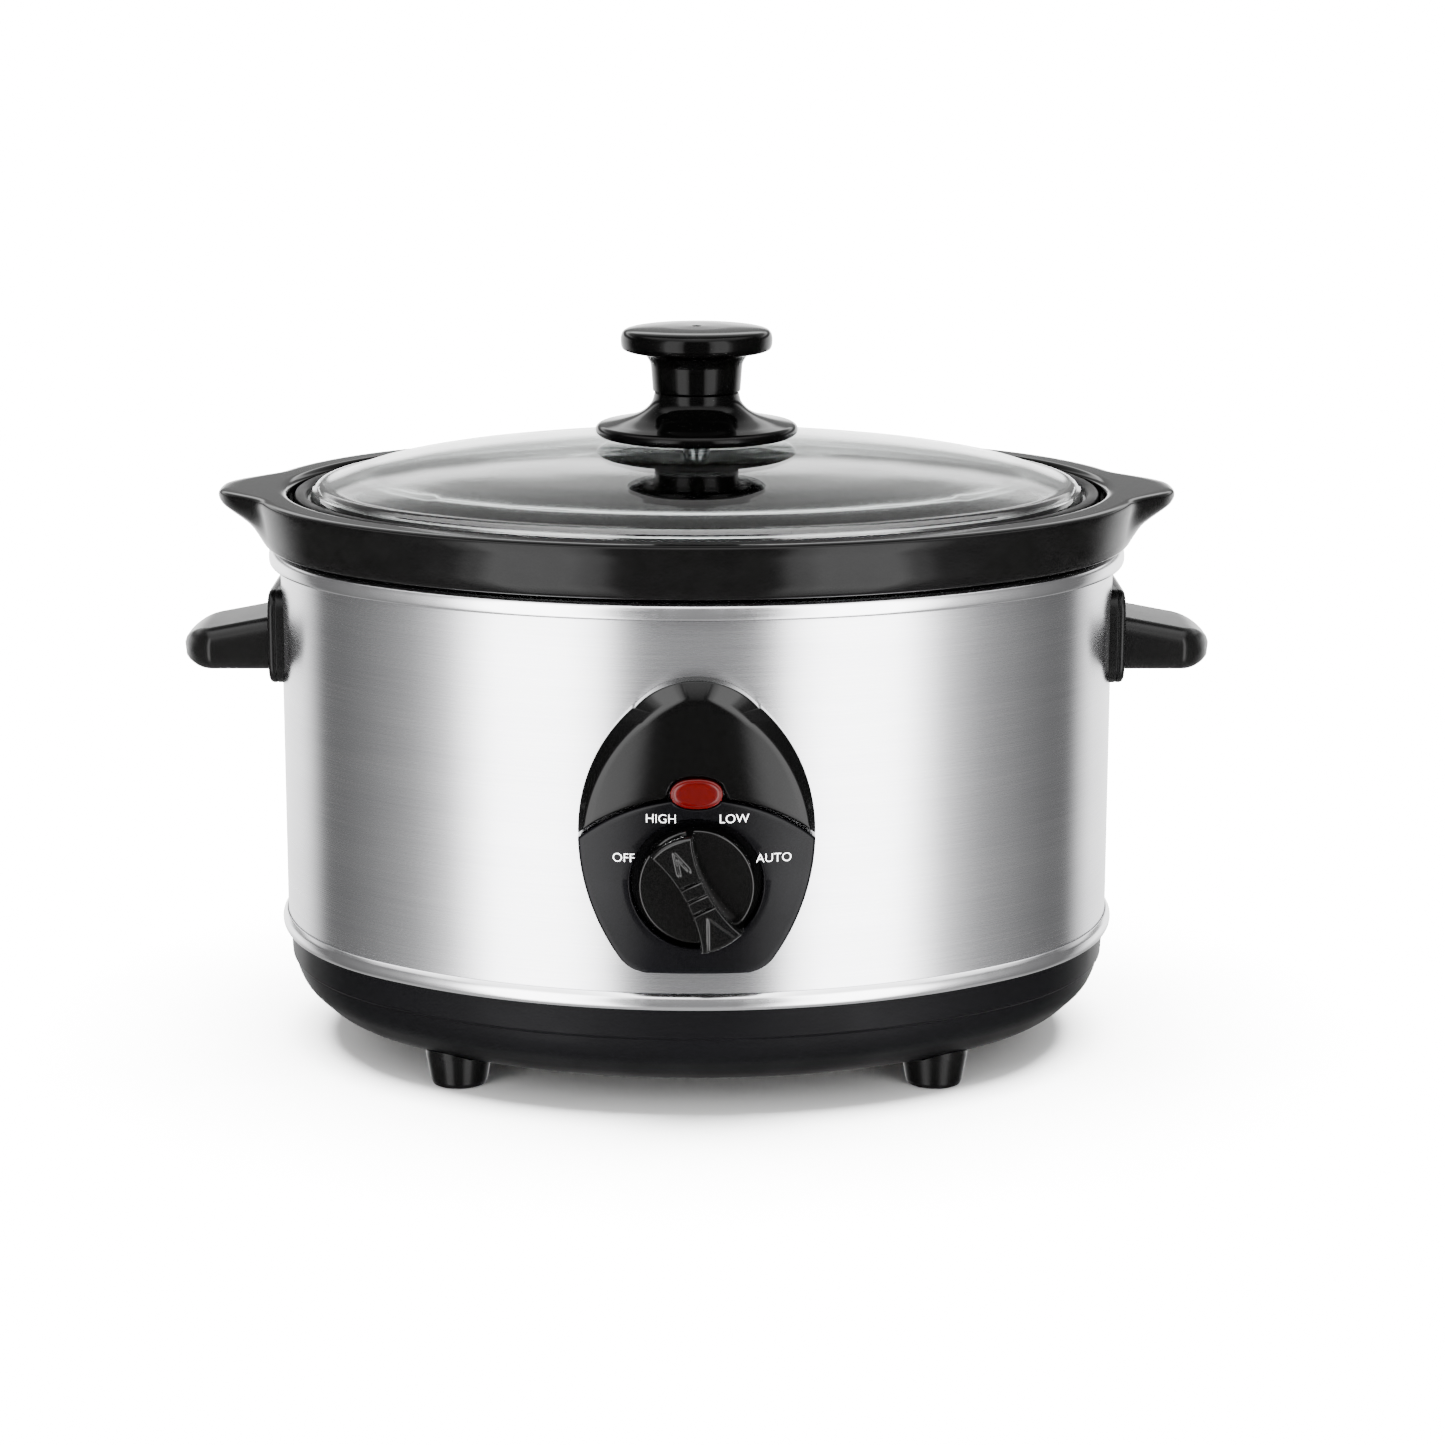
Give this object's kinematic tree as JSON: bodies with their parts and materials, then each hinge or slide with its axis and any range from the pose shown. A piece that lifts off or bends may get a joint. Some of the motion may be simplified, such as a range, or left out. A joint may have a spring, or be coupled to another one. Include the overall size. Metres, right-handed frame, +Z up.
{
  "type": "slow cooker",
  "caption": "Oval countertop slow cooker with a steel wrap, black base and side handles, an egg-shaped dial panel, a lift-out black crock with ears and a domed glass lid.",
  "frame": {"origin": "on the table under the middle of the oval wrap, in the plane of the four feet", "axes": "+Z up, the control panel faces -Y, +X towards the cooker's right-hand side handle as seen from the front"},
  "size_m": [0.3596, 0.2712, 0.2516],
  "materials": {
    "brushed_wrap": "horizontally brushed, satin",
    "polished_bead": "rolled and polished",
    "pan_metal": "satin, drawn",
    "base_plastic": "fine satin",
    "foot_plastic": "glossy",
    "panel_gloss": "high gloss",
    "panel_satin": "satin",
    "handle_plastic": "semi-gloss",
    "dial_plastic": "glossy",
    "lid_plastic": "polished",
    "red_lens": "clear red moulding",
    "black_glaze": "satin black glaze",
    "clear_glass": "tempered, clear",
    "black_seal": "satin silicone",
    "zinc_steel": "zinc plated",
    "thin_aluminium": "rolled sheet",
    "terminal_brass": "bright",
    "band_fabric": "woven glass fibre sleeve",
    "ceramic_body": "unglazed",
    "switch_plastic": "moulded",
    "brown_sleeve": "silicone sleeve",
    "blue_sleeve": "silicone sleeve",
    "white_sleeve": "silicone sleeve",
    "lamp_glass": "neon bulb"
  },
  "bodies": {
    "housing": {"base_tray": "base_plastic", "foot_front_left": "foot_plastic", "foot_front_right": "foot_plastic", "foot_rear_left": "foot_plastic", "foot_rear_right": "foot_plastic", "foot_screws": "zinc_steel", "rating_plate": "thin_aluminium", "lower_trim_ring": "polished_bead", "outer_shell": "brushed_wrap", "heating_pan": "pan_metal", "heater_band": "band_fabric", "heater_strap": "zinc_steel", "strap_screw": "zinc_steel", "heater_terminals": "terminal_brass", "heat_shield": "thin_aluminium", "centre_bolt": "zinc_steel", "centre_spacer": "zinc_steel", "centre_nut": "zinc_steel", "thermostat": "ceramic_body", "thermostat_bracket": "zinc_steel", "thermal_fuse": "ceramic_body", "fuse_clip": "zinc_steel", "terminal_block": "ceramic_body", "cord_gland": "base_plastic", "gland_nut": "base_plastic", "live_wire": "brown_sleeve", "neutral_wire": "blue_sleeve", "element_wire": "white_sleeve", "switch_body": "switch_plastic", "switch_nut": "zinc_steel", "control_fascia": "panel_satin", "panel_cover": "panel_gloss", "indicator_lens": "red_lens", "neon_lamp": "lamp_glass", "panel_screws": "zinc_steel", "left_handle": "handle_plastic", "right_handle": "handle_plastic", "handle_screws": "zinc_steel"},
    "dial": {"control_knob": "dial_plastic", "switch_shaft": "switch_plastic"},
    "crock": {"stoneware_crock": "black_glaze"},
    "lid": {"lid_glass": "clear_glass", "lid_rim_seal": "black_seal", "lid_knob_base": "lid_plastic", "lid_knob_cap": "lid_plastic", "lid_gasket": "black_seal", "lid_washer": "zinc_steel", "lid_screw": "zinc_steel"}
  },
  "joints": [
    {"name": "dial_turn", "type": "hinge", "parent": "housing", "child": "dial", "pos_m": [0, -0.12, 0.0864], "axis": [0, 1, 0], "range_deg": [-39, 93]},
    {"name": "crock_lift", "type": "slide", "parent": "housing", "child": "crock", "axis": [0, 0, 1], "range_m": [0, 0.16]},
    {"name": "lid_lift", "type": "slide", "parent": "crock", "child": "lid", "axis": [0, 0, 1], "range_m": [0, 0.12]}
  ]
}
